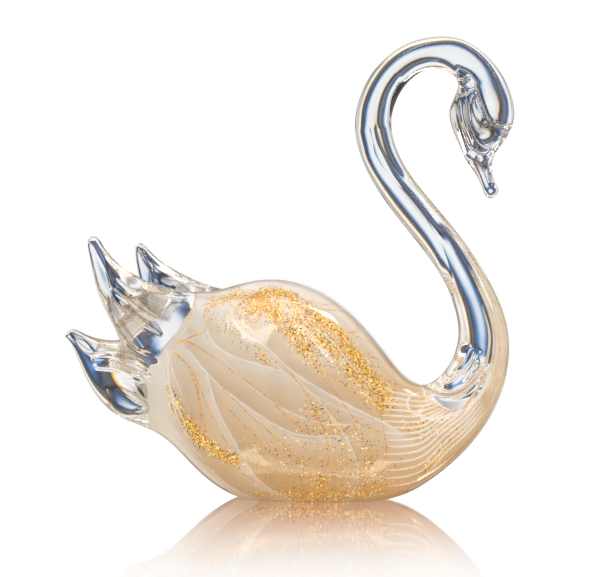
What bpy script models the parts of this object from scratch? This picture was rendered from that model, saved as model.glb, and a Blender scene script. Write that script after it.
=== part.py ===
# A hot-worked glass swan: one solid of glass, drawn out into a tail, two wing tips, a neck and a bill.
# The swan faces +X, its wings lie towards -Y and +Y, and it stands on the flat ground under its body at z = 0.
import math

import bmesh
import bpy
from mathutils import Matrix, Vector

# Driving dimensions, in metres
SWAN_HEIGHT = 0.240  # from the ground flat to the top of the neck's arch
GRIND_DEPTH = 0.0036  # glass ground off the belly to make the flat that it stands on

# How finely the form is laid out
RING_POINTS = 20  # points around each cross-section
SMOOTHING = 1  # subdivision levels of the finished surface
WING_PATCH = 4  # faces along and across the patch of flank that each wing tip is drawn from

# The side view. Each cross-section is a row: the point on the upper or inner outline, x and z, the point
# on the lower or outer outline, x and z, and how broad it is across for its depth. Places are in hundredths
# of the swan's height, measured from about the middle of its length and from the bottom of the unground belly.
TAIL = (
    (-49.8, 37.1, -50.2, 36.0, 1.10),
    (-48.4, 38.3, -49.6, 36.1, 0.96),
    (-46.3, 37.0, -48.0, 34.3, 0.90),
    (-42.1, 35.3, -45.7, 28.8, 0.85),
    (-37.1, 34.9, -41.8, 21.8, 0.88),
    (-32.4, 35.0, -35.8, 17.9, 0.96),
)
BODY = (
    (-27.8, 37.9, -28.6, 15.6, 0.98),
    (-22.9, 42.3, -22.9, 11.3, 0.92),
    (-17.8, 48.0, -17.2, 5.4, 0.88),
    (-11.4, 50.5, -10.0, 0.8, 0.87),
    (-4.5, 50.0, -2.8, 0.1, 0.87),
    (2.7, 48.9, 4.8, 0.0, 0.88),
    (9.4, 46.2, 12.4, 0.2, 0.88),
    (15.2, 41.8, 19.9, 0.7, 0.89),
    (20.5, 35.7, 27.3, 2.3, 0.92),
)
CHEST = (
    (25.1, 29.3, 33.6, 6.5, 0.97),
    (28.9, 26.4, 39.3, 11.4, 1.00),
    (32.4, 26.4, 44.1, 17.3, 1.02),
    (35.5, 29.1, 47.4, 23.6, 0.98),
    (37.9, 33.1, 49.2, 30.3, 0.96),
)
NECK = (
    (38.8, 38.0, 49.5, 37.2, 0.96),
    (37.8, 43.1, 47.6, 44.2, 0.97),
    (35.4, 49.8, 42.9, 53.3, 1.00),
    (28.7, 58.5, 35.1, 63.4, 1.00),
    (21.5, 67.2, 27.8, 71.5, 1.00),
    (16.9, 75.4, 24.5, 77.7, 1.00),
    (15.3, 83.0, 23.3, 83.3, 1.00),
    (16.9, 89.8, 24.4, 87.5, 1.00),
    (20.6, 95.9, 26.3, 91.1, 1.00),
    (26.6, 100.4, 29.9, 94.3, 1.00),
    (33.6, 101.8, 33.8, 95.1, 1.00),
)
HEAD = (
    (39.2, 101.0, 36.5, 94.1, 0.95),
    (43.4, 98.2, 38.5, 92.3, 0.90),
    (47.1, 94.4, 38.7, 90.1, 0.84),
    (49.3, 89.8, 36.9, 86.8, 0.74),
    (50.4, 85.5, 36.5, 84.1, 0.69),
    (49.8, 81.2, 37.6, 80.7, 0.68),
    (47.4, 78.1, 39.0, 77.7, 0.74),
)
BILL = (
    (45.6, 75.3, 39.8, 74.9, 0.80),
    (45.5, 72.5, 42.2, 71.9, 0.90),
    (46.2, 69.7, 43.5, 69.1, 1.00),
    (47.4, 68.3, 43.9, 67.4, 1.00),
    (46.0, 66.7, 44.9, 66.5, 1.10),
)

# The wing tips, from the flank outwards: x, distance from the middle plane, z, half the height and half the
# thickness, in the same hundredths. They were drawn out by hand, so the two differ a little.
RIGHT_WING_TIP = (
    (-23.7, 12.6, 36.8, 10.0, 6.4),
    (-29.8, 14.2, 41.3, 7.6, 4.6),
    (-34.1, 15.2, 46.4, 4.2, 3.0),
    (-36.3, 15.9, 50.7, 2.5, 1.9),
    (-37.7, 16.3, 54.1, 1.6, 1.4),
    (-38.3, 16.5, 55.9, 1.3, 1.3),
    (-38.6, 16.6, 56.9, 0.6, 0.6),
)
LEFT_WING_TIP = (
    (-23.5, 12.6, 38.2, 10.4, 6.4),
    (-28.7, 14.2, 43.4, 7.4, 4.5),
    (-33.1, 15.2, 47.3, 4.4, 3.0),
    (-35.3, 15.9, 50.8, 2.7, 1.9),
    (-36.7, 16.3, 53.5, 1.7, 1.4),
    (-37.3, 16.5, 54.9, 1.3, 1.3),
    (-37.6, 16.6, 55.9, 0.6, 0.6),
)
WING_RIDGE = 0.16  # how far the faces between a wing tip's four ridges sink in, as a share of its radius
WING_BLEND = 4  # times that the root of each wing tip is evened out into the flank
TAIL_RIDGE = 0.10  # the same for the tail

# The crease round the skull: the cross-section's number in HEAD, and its angle from the side of the head
# towards the crown, in degrees
SKULL_CREASE = ((1, -8.0), (2, -6.0), (3, -4.0), (4, 6.0), (5, 26.0), (6, 52.0))
CREASE_DEPTH = 0.14  # as a share of the head's half-breadth
CREASE_WIDTH = 24.0  # degrees

# The folded wings swell from the flanks between these two cross-sections of BODY
WING_SWELL = 0.05  # as a share of the body's half-breadth
WING_SWELL_ROWS = (1.0, 7.5)
WING_SWELL_ANGLES = (-55.0, 62.0)  # degrees above the side of the body

GLASS_COLOUR = (0.93, 0.91, 0.88, 1.0)


def clear_scene():
    for thing in list(bpy.data.objects):
        bpy.data.objects.remove(thing)


def smooth_step(value, low, high):
    share = min(1.0, max(0.0, (value - low) / (high - low)))
    return share * share * (3.0 - 2.0 * share)


def swell_share(row, angle):
    """How much a folded wing stands out of the body at this cross-section of BODY and angle."""
    first, last = WING_SWELL_ROWS
    low, high = WING_SWELL_ANGLES
    along = smooth_step(row, first - 1.5, first + 1.5) * (1.0 - smooth_step(row, last - 0.5, last + 0.5))
    across = smooth_step(angle, low - 20.0, low + 20.0) * (1.0 - smooth_step(angle, high - 15.0, high + 15.0))
    return WING_SWELL * along * across


def crease_share(row, angle):
    """How deep the crease round the skull is at this cross-section of HEAD and angle."""
    depth = 0.0
    for crease_row, crease_angle in SKULL_CREASE:
        if crease_row == row:
            depth = CREASE_DEPTH * math.exp(-(((angle - crease_angle) / CREASE_WIDTH) ** 2))
    return depth


def ridge_share(angle, depth):
    """Four ridges, above, below and at both sides, with sunken faces between them."""
    return depth * 0.5 * (1.0 - math.cos(math.radians(4.0 * angle)))


def ring_of_row(row, share, form):
    """The points of one cross-section. form gives the share that its radius grows by at an angle."""
    upper = Vector((row[0], 0.0, row[1])) * share - Vector((0.0, 0.0, GRIND_DEPTH))
    lower = Vector((row[2], 0.0, row[3])) * share - Vector((0.0, 0.0, GRIND_DEPTH))
    centre = (upper + lower) / 2.0
    height = (upper - lower) / 2.0
    breadth = Vector((0.0, height.length * row[4], 0.0))
    # a subdivided ring settles inside its cage by this much
    settle = 2.0 / 3.0 + math.cos(2.0 * math.pi / RING_POINTS) / 3.0
    ring = []
    for number in range(RING_POINTS):
        turn = 2.0 * math.pi * number / RING_POINTS
        side_angle = math.degrees(math.asin(math.sin(turn)))  # from the side, positive towards the upper outline
        grown = (1.0 + form(side_angle)) / settle
        ring.append(centre + (height * math.sin(turn) + breadth * math.cos(turn)) * grown)
    return ring


def main_rings(share):
    rings = []
    for row in TAIL:
        rings.append(ring_of_row(row, share, lambda angle: -ridge_share(angle, TAIL_RIDGE)))
    for number, row in enumerate(BODY):
        rings.append(ring_of_row(row, share, lambda angle, number=number: swell_share(number, angle)))
    for row in CHEST + NECK:
        rings.append(ring_of_row(row, share, lambda angle: 0.0))
    for number, row in enumerate(HEAD):
        rings.append(ring_of_row(row, share, lambda angle, number=number: -crease_share(number, angle)))
    for row in BILL:
        rings.append(ring_of_row(row, share, lambda angle: 0.0))
    return rings


def add_faces_between(cage, first, second):
    faces = []
    count = len(first)
    for number in range(count):
        after = (number + 1) % count
        faces.append(cage.faces.new((first[number], first[after], second[after], second[number])))
    return faces


def build_body(cage, share):
    """The loft from the tail's tip to the bill's tip. It returns the points and the faces of each ring."""
    points = [[cage.verts.new(place) for place in ring] for ring in main_rings(share)]
    faces = [add_faces_between(cage, first, second) for first, second in zip(points, points[1:])]
    cage.faces.new(points[0][::-1])
    cage.faces.new(points[-1])
    return points, faces


def patch_border(points, first_row, first_column, column_step):
    """The points round a patch of the flank, in order, starting at its rear lower corner."""
    rows = range(first_row, first_row + WING_PATCH)
    columns = range(first_column, first_column + column_step * WING_PATCH, column_step)
    last_row = first_row + WING_PATCH
    last_column = first_column + column_step * WING_PATCH
    border = [points[row][first_column % RING_POINTS] for row in rows]
    border += [points[last_row][column % RING_POINTS] for column in columns]
    border += [points[row + 1][last_column % RING_POINTS] for row in reversed(rows)]
    border += [points[first_row][(column + column_step) % RING_POINTS] for column in reversed(columns)]
    return border


def wing_ring(tip, number, share, side, angles):
    """One cross-section of a wing tip, at right angles to the line it is drawn along."""
    x, out, z, half_height, half_thickness = tip[number]
    place = Vector((x, side * out, z)) * share
    before = tip[max(number - 1, 0)]
    after = tip[min(number + 1, len(tip) - 1)]
    along = Vector((after[0] - before[0], side * (after[1] - before[1]), after[2] - before[2])).normalized()
    sideways = Vector((0.0, side, 0.0))
    sideways = (sideways - along * sideways.dot(along)).normalized()
    up = sideways.cross(along) * side
    settle = 2.0 / 3.0 + math.cos(math.pi / (2 * WING_PATCH)) / 3.0
    ring = []
    for angle in angles:
        sunk = (1.0 - ridge_share(math.degrees(angle), WING_RIDGE)) / settle
        ring.append(
            place
            + (up * half_height * math.cos(angle) + sideways * half_thickness * math.sin(angle)) * share * sunk
        )
    return ring, place, up, sideways


def drawn_angles(tip, border, share, side):
    """The angle of each border point as seen along the wing tip, and the even angles nearest to them."""
    _, place, up, sideways = wing_ring(tip, 0, share, side, [])
    seen = []
    for point in border:
        offset = point.co - place
        angle = math.atan2(offset.dot(sideways), offset.dot(up))
        while seen and angle - seen[-1] > math.pi:
            angle -= 2.0 * math.pi
        while seen and angle - seen[-1] < -math.pi:
            angle += 2.0 * math.pi
        seen.append(angle)
    turn = math.copysign(2.0 * math.pi / len(border), seen[-1] - seen[0])
    start = sum(angle - number * turn for number, angle in enumerate(seen)) / len(seen)
    # ridges fall on points, so the start is a whole number of steps
    start = round(start / turn) * turn
    return seen, [start + number * turn for number in range(len(border))]


def draw_wing_tip(cage, points, faces, share, side, tip):
    """Opens a patch of the flank and draws the glass there out into a wing tip."""
    first_row = len(TAIL) - 1
    if side > 0:
        first_column, column_step = 0, 1
    else:
        first_column, column_step = RING_POINTS // 2, -1
    border = patch_border(points, first_row, first_column, column_step)
    opened = []
    for row in range(first_row, first_row + WING_PATCH):
        for column in range(WING_PATCH):
            number = column if side > 0 else RING_POINTS // 2 - 1 - column
            opened.append(faces[row][number])
    bmesh.ops.delete(cage, geom=opened, context="FACES")
    seen, even = drawn_angles(tip, border, share, side)
    previous = border
    for number in range(len(tip)):
        settled = min(1.0, number / 2.0)
        angles = [a + (b - a) * settled for a, b in zip(seen, even)]
        ring, _, _, _ = wing_ring(tip, number, share, side, angles)
        current = [cage.verts.new(place) for place in ring]
        add_faces_between(cage, previous, current)
        if number == 0:
            root = border + current
        previous = current
    cage.faces.new(previous)
    return root


def even_out(cage, roots):
    """Evens out the roots of the wing tips together with the glass next to them."""
    soft = set(roots)
    for point in roots:
        soft.update(edge.other_vert(point) for edge in point.link_edges)
    soft = sorted(soft, key=lambda point: point.index)
    for _ in range(WING_BLEND):
        bmesh.ops.smooth_vert(cage, verts=soft, factor=0.5, use_axis_x=True, use_axis_y=True, use_axis_z=True)


def build_cage():
    share = SWAN_HEIGHT / 100.0
    cage = bmesh.new()
    points, faces = build_body(cage, share)
    roots = []
    for side, tip in ((-1.0, RIGHT_WING_TIP), (1.0, LEFT_WING_TIP)):
        roots += draw_wing_tip(cage, points, faces, share, side, tip)
    cage.verts.index_update()
    even_out(cage, roots)
    bmesh.ops.recalc_face_normals(cage, faces=cage.faces)
    mesh = bpy.data.meshes.new("swan")
    cage.to_mesh(mesh)
    cage.free()
    mesh.shade_smooth()
    return mesh


def glass():
    material = bpy.data.materials.new("clear_glass")
    material.use_nodes = True
    shader = material.node_tree.nodes["Principled BSDF"]
    shader.inputs["Base Color"].default_value = GLASS_COLOUR
    shader.inputs["Roughness"].default_value = 0.02
    shader.inputs["Transmission Weight"].default_value = 1.0
    shader.inputs["IOR"].default_value = 1.5
    return material


def grinding_wheel():
    """The block of space under the swan that is ground away."""
    depth = SWAN_HEIGHT / 4.0
    bpy.ops.mesh.primitive_cube_add(size=1.0, location=(0.0, 0.0, -depth / 2.0))
    wheel = bpy.context.object
    wheel.name = "grinding_wheel"
    wheel.scale = (SWAN_HEIGHT * 2.0, SWAN_HEIGHT * 2.0, depth)
    bpy.ops.object.transform_apply(location=False, rotation=False, scale=True)
    wheel.hide_render = True
    wheel.display_type = "WIRE"
    return wheel


def build_swan():
    swan = bpy.data.objects.new("swan", build_cage())
    bpy.context.scene.collection.objects.link(swan)
    swan.data.materials.append(glass())
    surface = swan.modifiers.new("surface", "SUBSURF")
    surface.levels = surface.render_levels = SMOOTHING
    flat = swan.modifiers.new("ground_flat", "BOOLEAN")
    flat.operation = "DIFFERENCE"
    flat.object = grinding_wheel()
    # the middle of the finished length is brought over the origin
    finished = swan.evaluated_get(bpy.context.evaluated_depsgraph_get())
    length = [corner[0] for corner in finished.bound_box]
    middle = (min(length) + max(length)) / 2.0
    swan.data.transform(Matrix.Translation((-middle, 0.0, 0.0)))


clear_scene()
build_swan()
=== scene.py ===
import math

import bmesh
import bpy
import numpy as np
from mathutils import Matrix, Vector, noise
from mathutils.bvhtree import BVHTree
from mathutils.kdtree import KDTree


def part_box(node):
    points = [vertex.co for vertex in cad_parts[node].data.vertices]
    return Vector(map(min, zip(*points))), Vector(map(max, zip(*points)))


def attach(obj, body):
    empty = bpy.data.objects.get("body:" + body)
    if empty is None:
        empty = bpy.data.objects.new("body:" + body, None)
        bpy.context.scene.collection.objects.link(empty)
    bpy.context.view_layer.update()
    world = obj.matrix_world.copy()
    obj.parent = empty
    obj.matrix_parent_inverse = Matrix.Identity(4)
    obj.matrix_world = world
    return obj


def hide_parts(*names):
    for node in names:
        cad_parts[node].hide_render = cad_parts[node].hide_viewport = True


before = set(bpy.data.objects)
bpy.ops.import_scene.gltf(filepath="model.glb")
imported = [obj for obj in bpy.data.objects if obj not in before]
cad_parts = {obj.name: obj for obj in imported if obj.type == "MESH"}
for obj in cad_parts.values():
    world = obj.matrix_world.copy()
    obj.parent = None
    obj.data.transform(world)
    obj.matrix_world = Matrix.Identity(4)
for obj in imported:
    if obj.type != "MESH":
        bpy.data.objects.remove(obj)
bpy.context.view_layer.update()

scene = bpy.context.scene
lowCorner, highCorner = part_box("swan")

# The view: a camera a little to the front of the swan's right side, almost level with it
view = {
    "azimuth": 11.0,  # degrees towards the head
    "elevation": 0.7,  # degrees
    "distance": 0.95,  # metres
    "aimX": 0.0085,
    "aimZ": 0.1096,
    "pixelsPerMetre": 1902.0,  # at the aim point
    "pictureSize": (600, 577),
    "sensorWidth": 36.0,  # millimetres
}
azimuth = math.radians(view["azimuth"])
elevation = math.radians(view["elevation"])
backward = Vector((
    math.sin(azimuth) * math.cos(elevation),
    -math.cos(azimuth) * math.cos(elevation),
    math.sin(elevation),
))
rightward = Vector((math.cos(azimuth), math.sin(azimuth), 0.0))
upward = backward.cross(rightward)
aimPoint = Vector((view["aimX"], 0.0, view["aimZ"]))
eyePoint = aimPoint + backward * view["distance"]


def placeCamera():
    camera = bpy.data.objects.new("camera", bpy.data.cameras.new("camera"))
    scene.collection.objects.link(camera)
    focalPixels = view["pixelsPerMetre"] * view["distance"]
    camera.data.sensor_width = view["sensorWidth"]
    camera.data.lens = focalPixels / view["pictureSize"][0] * view["sensorWidth"]
    camera.data.clip_start = 0.01
    turn = Matrix((rightward, upward, backward)).transposed().to_4x4()
    camera.matrix_world = Matrix.Translation(eyePoint) @ turn
    scene.camera = camera


def pictureRay(point):
    # the direction from the eye through a point of the picture
    across = (point[0] - view["pictureSize"][0] / 2) / view["pixelsPerMetre"] / view["distance"]
    down = (point[1] - view["pictureSize"][1] / 2) / view["pixelsPerMetre"] / view["distance"]
    return (rightward * across - upward * down - backward).normalized()


# Shader maths: a socket that can be added, multiplied and compared
class Sock:
    def __init__(self, paint, socket):
        self.paint = paint
        self.socket = socket

    def math(self, operation, *others):
        return self.paint.node("ShaderNodeMath", {"operation": operation}, (self,) + others)

    def __add__(self, other):
        return self.math("ADD", other)

    __radd__ = __add__

    def __sub__(self, other):
        return self.math("SUBTRACT", other)

    def __rsub__(self, other):
        return self.paint.node("ShaderNodeMath", {"operation": "SUBTRACT"}, (other, self))

    def __mul__(self, other):
        return self.math("MULTIPLY", other)

    __rmul__ = __mul__

    def __truediv__(self, other):
        return self.math("DIVIDE", other)

    def __abs__(self):
        return self.math("ABSOLUTE")

    def clipped(self):
        return self.math("MAXIMUM", 0.0).math("MINIMUM", 1.0)


# One node tree: every node comes from node()
class Nodes:
    def node(self, kind, settings=None, inputs=None, out=0):
        made = self.tree.nodes.new(kind)
        for name, value in (settings or {}).items():
            if name == "stops":
                self.fillRamp(made, value)
            else:
                setattr(made, name, value)
        pairs = inputs.items() if isinstance(inputs, dict) else enumerate(inputs or ())
        for key, value in pairs:
            if isinstance(value, Sock):
                self.tree.links.new(value.socket, made.inputs[key])
            else:
                made.inputs[key].default_value = value
        return Sock(self, made.outputs[out]) if made.outputs else None

    def fillRamp(self, made, stops):
        ramp = made.color_ramp
        while len(ramp.elements) > 1:
            ramp.elements.remove(ramp.elements[-1])
        ramp.elements[0].position = stops[0][0]
        ramp.elements[0].color = (*stops[0][1:], 1.0)
        for position, *colour in stops[1:]:
            ramp.elements.new(position).color = (*colour, 1.0)


# A material or a world
class Paint(Nodes):
    def __init__(self, owner):
        owner.use_nodes = True
        self.tree = owner.node_tree
        self.tree.nodes.clear()

    def ramp(self, factor, stops):
        # stops: position, red, green, blue
        return self.node("ShaderNodeValToRGB", {"stops": stops}, {"Fac": factor})

    def mix(self, factor, first, second):
        return self.node("ShaderNodeMix", {"data_type": "RGBA"}, {0: factor, 6: first, 7: second}, out=2)

    def attribute(self, name):
        return self.node("ShaderNodeAttribute", {"attribute_name": name}, None, out=2)

    def noise(self, place, scale, detail):
        return self.node("ShaderNodeTexNoise", None, {"Vector": place, "Scale": scale, "Detail": detail})

    def objectPlace(self):
        return self.node("ShaderNodeTexCoord", None, None, out=3)

    def bump(self, height, strength, distance):
        return self.node("ShaderNodeBump", None, {"Height": height, "Strength": strength, "Distance": distance})

    def finish(self, shader, kind="ShaderNodeOutputMaterial"):
        self.node(kind, None, {0: shader})


# A geometry tree with named inputs, for what repeats or follows a path or a surface
class Former(Nodes):
    def __init__(self, name, sizes):
        self.tree = bpy.data.node_groups.new(name, "GeometryNodeTree")
        self.sizes = sizes
        self.tree.interface.new_socket("Geometry", in_out="INPUT", socket_type="NodeSocketGeometry")
        for size, value in sizes.items():
            kind = "NodeSocketInt" if isinstance(value, int) else "NodeSocketFloat"
            self.tree.interface.new_socket(size, in_out="INPUT", socket_type=kind)
        self.tree.interface.new_socket("Material", in_out="INPUT", socket_type="NodeSocketMaterial")
        self.tree.interface.new_socket("Geometry", in_out="OUTPUT", socket_type="NodeSocketGeometry")
        entry = self.tree.nodes.new("NodeGroupInput")
        self.entry = {socket.name: Sock(self, socket) for socket in entry.outputs if socket.name}

    def form(self, shape, piece, material):
        # closes the tree, sets its inputs on the piece and turns the result into a plain mesh
        whole = self.node("GeometryNodeRealizeInstances", None, [shape])
        done = self.node("GeometryNodeSetMaterial", None, {"Geometry": whole, "Material": self.entry["Material"]})
        self.node("NodeGroupOutput", None, [done])
        shaping = piece.modifiers.new("forming", "NODES")
        shaping.node_group = self.tree
        for item in self.tree.interface.items_tree:
            if item.in_out == "INPUT" and item.name in self.sizes:
                shaping[item.identifier] = self.sizes[item.name]
            elif item.in_out == "INPUT" and item.name == "Material":
                shaping[item.identifier] = material
        depsgraph = bpy.context.evaluated_depsgraph_get()
        shaped = piece.evaluated_get(depsgraph)
        mesh = bpy.data.meshes.new_from_object(shaped, preserve_all_data_layers=True, depsgraph=depsgraph)
        formed = bpy.data.objects.new(piece.name + "Form", mesh)
        name = piece.name
        bpy.data.objects.remove(piece)
        formed.name = name
        mesh.name = name
        mesh.shade_smooth()
        scene.collection.objects.link(formed)
        return formed


def grey(value):
    return (value, value, value, 1.0)


# The swan's form. A cross-section is a row: the point on the upper or inner outline, x and z, the point on the
# lower or outer outline, x and z, and how broad it is across for its depth, in hundredths of its height.
swanForm = {
    "archTop": 99.93,  # the finished arch's top, in the same hundredths
    "groundOff": 1.5,  # what is ground off the belly
    "ringPoints": 20,
    "smoothing": 3,
    "wingPatch": 4,
    "wingBlend": 8,
    "wingFlatness": 0.32,  # 1 is an oval cross-section, less is flatter
    "tailRidge": -0.20,
    "headFullness": 0.18,
    "swell": 0.05,
    "fluteDepth": 0.024,
    "fluteTurn": 0.55,
    "swellRows": (1.0, 7.5),
    "swellAngles": (-55.0, 62.0),
    "tail": (
        (-49.8, 37.1, -50.2, 36.0, 1.10), (-48.4, 38.3, -49.6, 36.1, 0.96), (-46.3, 37.0, -48.0, 34.3, 0.88),
        (-42.1, 35.3, -45.7, 28.8, 0.80), (-37.1, 34.9, -41.8, 21.8, 0.62), (-32.4, 35.0, -35.8, 17.9, 0.80),
    ),
    "body": (
        (-27.8, 37.9, -28.6, 15.6, 0.98), (-22.9, 42.3, -22.9, 11.3, 0.92), (-17.8, 48.0, -17.2, 5.4, 0.88),
        (-11.4, 50.5, -10.0, 0.8, 0.87), (-4.5, 50.0, -2.8, 0.1, 0.87), (2.7, 48.9, 4.8, 0.0, 0.88),
        (9.4, 46.2, 12.4, 0.2, 0.88), (15.2, 41.8, 19.9, 0.7, 0.89), (20.5, 35.7, 27.3, 2.3, 0.92),
    ),
    "chest": (
        (25.1, 29.3, 33.6, 6.5, 0.97), (28.9, 26.4, 39.3, 11.4, 1.00), (32.4, 26.4, 44.1, 17.3, 1.02),
        (35.5, 29.1, 47.4, 23.6, 0.98), (37.9, 33.1, 49.2, 30.3, 0.96),
    ),
    "neck": (
        (38.8, 38.0, 49.5, 37.2, 0.96), (37.8, 43.1, 47.6, 44.2, 0.97), (35.4, 49.8, 42.9, 53.3, 1.00),
        (28.7, 58.5, 35.1, 63.4, 1.00), (21.5, 67.2, 27.8, 71.5, 1.00), (16.9, 75.4, 24.5, 77.7, 1.00),
        (15.3, 83.0, 23.3, 83.3, 1.00), (16.9, 89.8, 24.4, 87.5, 1.00), (20.6, 95.9, 26.3, 91.1, 1.00),
        (26.6, 100.4, 29.9, 94.3, 1.00), (33.6, 101.8, 33.8, 95.1, 1.00),
    ),
    "head": (
        (39.2, 101.0, 36.5, 94.1, 0.95), (43.4, 98.2, 38.5, 92.3, 0.90), (47.1, 94.4, 38.7, 90.1, 0.84),
        (49.3, 89.8, 36.9, 86.8, 0.74), (50.4, 85.5, 36.5, 84.1, 0.69), (49.8, 81.2, 37.6, 80.7, 0.68),
        (47.4, 78.1, 39.0, 77.7, 0.74),
    ),
    "bill": (
        (45.6, 75.3, 39.8, 74.9, 0.80), (45.5, 72.5, 42.2, 71.9, 0.90), (46.2, 69.7, 43.5, 69.1, 1.00),
        (47.4, 68.3, 43.9, 67.4, 1.00), (46.0, 66.7, 44.9, 66.5, 1.10),
    ),
    # a wing tip's row: x, distance from the middle, z, half the height and half the thickness
    "rightWing": (
        (-23.7, 12.6, 36.8, 10.0, 5.4), (-29.8, 14.2, 41.3, 7.6, 3.4), (-34.1, 15.2, 46.4, 4.2, 2.3),
        (-36.3, 15.9, 50.7, 2.5, 1.65), (-37.7, 16.3, 54.1, 1.6, 1.3), (-38.3, 16.5, 55.9, 1.3, 1.3),
        (-38.6, 16.6, 56.9, 0.6, 0.6),
    ),
    "leftWing": (
        (-23.5, 12.6, 38.2, 10.4, 5.4), (-28.7, 14.2, 43.4, 7.4, 3.4), (-33.1, 15.2, 47.3, 4.4, 2.3),
        (-35.3, 15.9, 50.8, 2.7, 1.65), (-36.7, 16.3, 53.5, 1.7, 1.3), (-37.3, 16.5, 54.9, 1.3, 1.3),
        (-37.6, 16.6, 55.9, 0.6, 0.6),
    ),
}
hundredth = (highCorner.z - lowCorner.z) / swanForm["archTop"]


def smoothStep(value, low, high):
    share = min(1.0, max(0.0, (value - low) / (high - low)))
    return share * share * (3.0 - 2.0 * share)


def swellShare(row, angle):
    # how much a folded wing stands out of the body
    first, last = swanForm["swellRows"]
    low, high = swanForm["swellAngles"]
    along = smoothStep(row, first - 1.5, first + 1.5) * (1.0 - smoothStep(row, last - 0.5, last + 0.5))
    across = smoothStep(angle, low - 20.0, low + 20.0) * (1.0 - smoothStep(angle, high - 15.0, high + 15.0))
    return swanForm["swell"] * along * across


def ridgeShare(angle, depth):
    # four ridges with sunken faces between them
    return depth * 0.5 * (1.0 - math.cos(math.radians(4.0 * angle)))


def fluteShare(row, turn):
    # the drawn neck's shallow flutes, which turn slowly round it
    depth = swanForm["fluteDepth"] * smoothStep(row, 0.0, 3.0) * (1.0 - smoothStep(row, 9.0, 11.0))
    twist = swanForm["fluteTurn"]
    return depth * (math.cos(3.0 * turn + twist * row) + 0.6 * math.cos(5.0 * turn - twist * 1.7 * row))


def crossSection(row, grow, shares=(1.0, 1.0, 1.0), points=None):
    # shares: how much of the way to the upper outline, to the lower outline and to the sides it reaches
    count = points or swanForm["ringPoints"]
    upper = Vector((row[0], 0.0, row[1] - swanForm["groundOff"])) * hundredth
    lower = Vector((row[2], 0.0, row[3] - swanForm["groundOff"])) * hundredth
    middle = (upper + lower) / 2.0
    half = (upper - lower) / 2.0
    breadth = Vector((0.0, half.length * row[4] * shares[2], 0.0))
    middle = middle + half * (shares[0] - shares[1]) / 2.0
    half = half * (shares[0] + shares[1]) / 2.0
    settle = 2.0 / 3.0 + math.cos(2.0 * math.pi / count) / 3.0  # a subdivided ring settles inside its cage
    ring = []
    for number in range(count):
        turn = 2.0 * math.pi * number / count
        sideAngle = math.degrees(math.asin(math.sin(turn)))
        grown = (1.0 + grow(sideAngle, turn)) / settle
        ring.append(middle + (half * math.sin(turn) + breadth * math.cos(turn)) * grown)
    return ring


def bandFaces(cage, first, second):
    faces = []
    for number in range(len(first)):
        after = (number + 1) % len(first)
        faces.append(cage.faces.new((first[number], first[after], second[after], second[number])))
    return faces


def loft(cage, rings):
    points = [[cage.verts.new(place) for place in ring] for ring in rings]
    faces = [bandFaces(cage, first, second) for first, second in zip(points, points[1:])]
    cage.faces.new(points[0][::-1])
    cage.faces.new(points[-1])
    return points, faces


def tailShare(angle, turn):
    return -ridgeShare(angle, swanForm["tailRidge"])


def headShare(angle, turn):
    return ridgeShare(angle, swanForm["headFullness"])


def plainShare(angle, turn):
    return 0.0


def bodyRings():
    rings = [crossSection(row, tailShare) for row in swanForm["tail"]]
    for number, row in enumerate(swanForm["body"]):
        rings.append(crossSection(row, lambda angle, turn, number=number: swellShare(number, angle)))
    rings += [crossSection(row, plainShare) for row in swanForm["chest"]]
    for number, row in enumerate(swanForm["neck"]):
        rings.append(crossSection(row, lambda angle, turn, number=number: fluteShare(number, turn)))
    rings += [crossSection(row, headShare) for row in swanForm["head"]]
    rings += [crossSection(row, plainShare) for row in swanForm["bill"]]
    return rings


def patchBorder(points, firstRow, firstColumn, step):
    patch = swanForm["wingPatch"]
    count = swanForm["ringPoints"]
    rows = range(firstRow, firstRow + patch)
    columns = range(firstColumn, firstColumn + step * patch, step)
    lastColumn = firstColumn + step * patch
    border = [points[row][firstColumn % count] for row in rows]
    border += [points[firstRow + patch][column % count] for column in columns]
    border += [points[row + 1][lastColumn % count] for row in reversed(rows)]
    border += [points[firstRow][(column + step) % count] for column in reversed(columns)]
    return border


def wingRing(tip, number, side, angles):
    x, out, z, halfHeight, halfThickness = tip[number]
    place = Vector((x, side * out, z)) * hundredth
    before = tip[max(number - 1, 0)]
    after = tip[min(number + 1, len(tip) - 1)]
    along = Vector((after[0] - before[0], side * (after[1] - before[1]), after[2] - before[2])).normalized()
    sideways = Vector((0.0, side, 0.0))
    sideways = (sideways - along * sideways.dot(along)).normalized()
    up = sideways.cross(along) * side
    settle = 2.0 / 3.0 + math.cos(math.pi / (2 * swanForm["wingPatch"])) / 3.0
    ring = []
    for angle in angles:
        flat = math.copysign(abs(math.sin(angle)) ** swanForm["wingFlatness"], math.sin(angle))
        offset = up * halfHeight * math.cos(angle) + sideways * halfThickness * flat
        ring.append(place + offset * hundredth / settle)
    return ring, place, up, sideways


def borderAngles(tip, border, side):
    _, place, up, sideways = wingRing(tip, 0, side, [])
    seen = []
    for point in border:
        offset = point.co - place
        angle = math.atan2(offset.dot(sideways), offset.dot(up))
        while seen and angle - seen[-1] > math.pi:
            angle -= 2.0 * math.pi
        while seen and angle - seen[-1] < -math.pi:
            angle += 2.0 * math.pi
        seen.append(angle)
    turn = math.copysign(2.0 * math.pi / len(border), seen[-1] - seen[0])
    start = sum(angle - number * turn for number, angle in enumerate(seen)) / len(seen)
    start = round(start / turn) * turn  # ridges fall on points
    return seen, [start + number * turn for number in range(len(border))]


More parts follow.
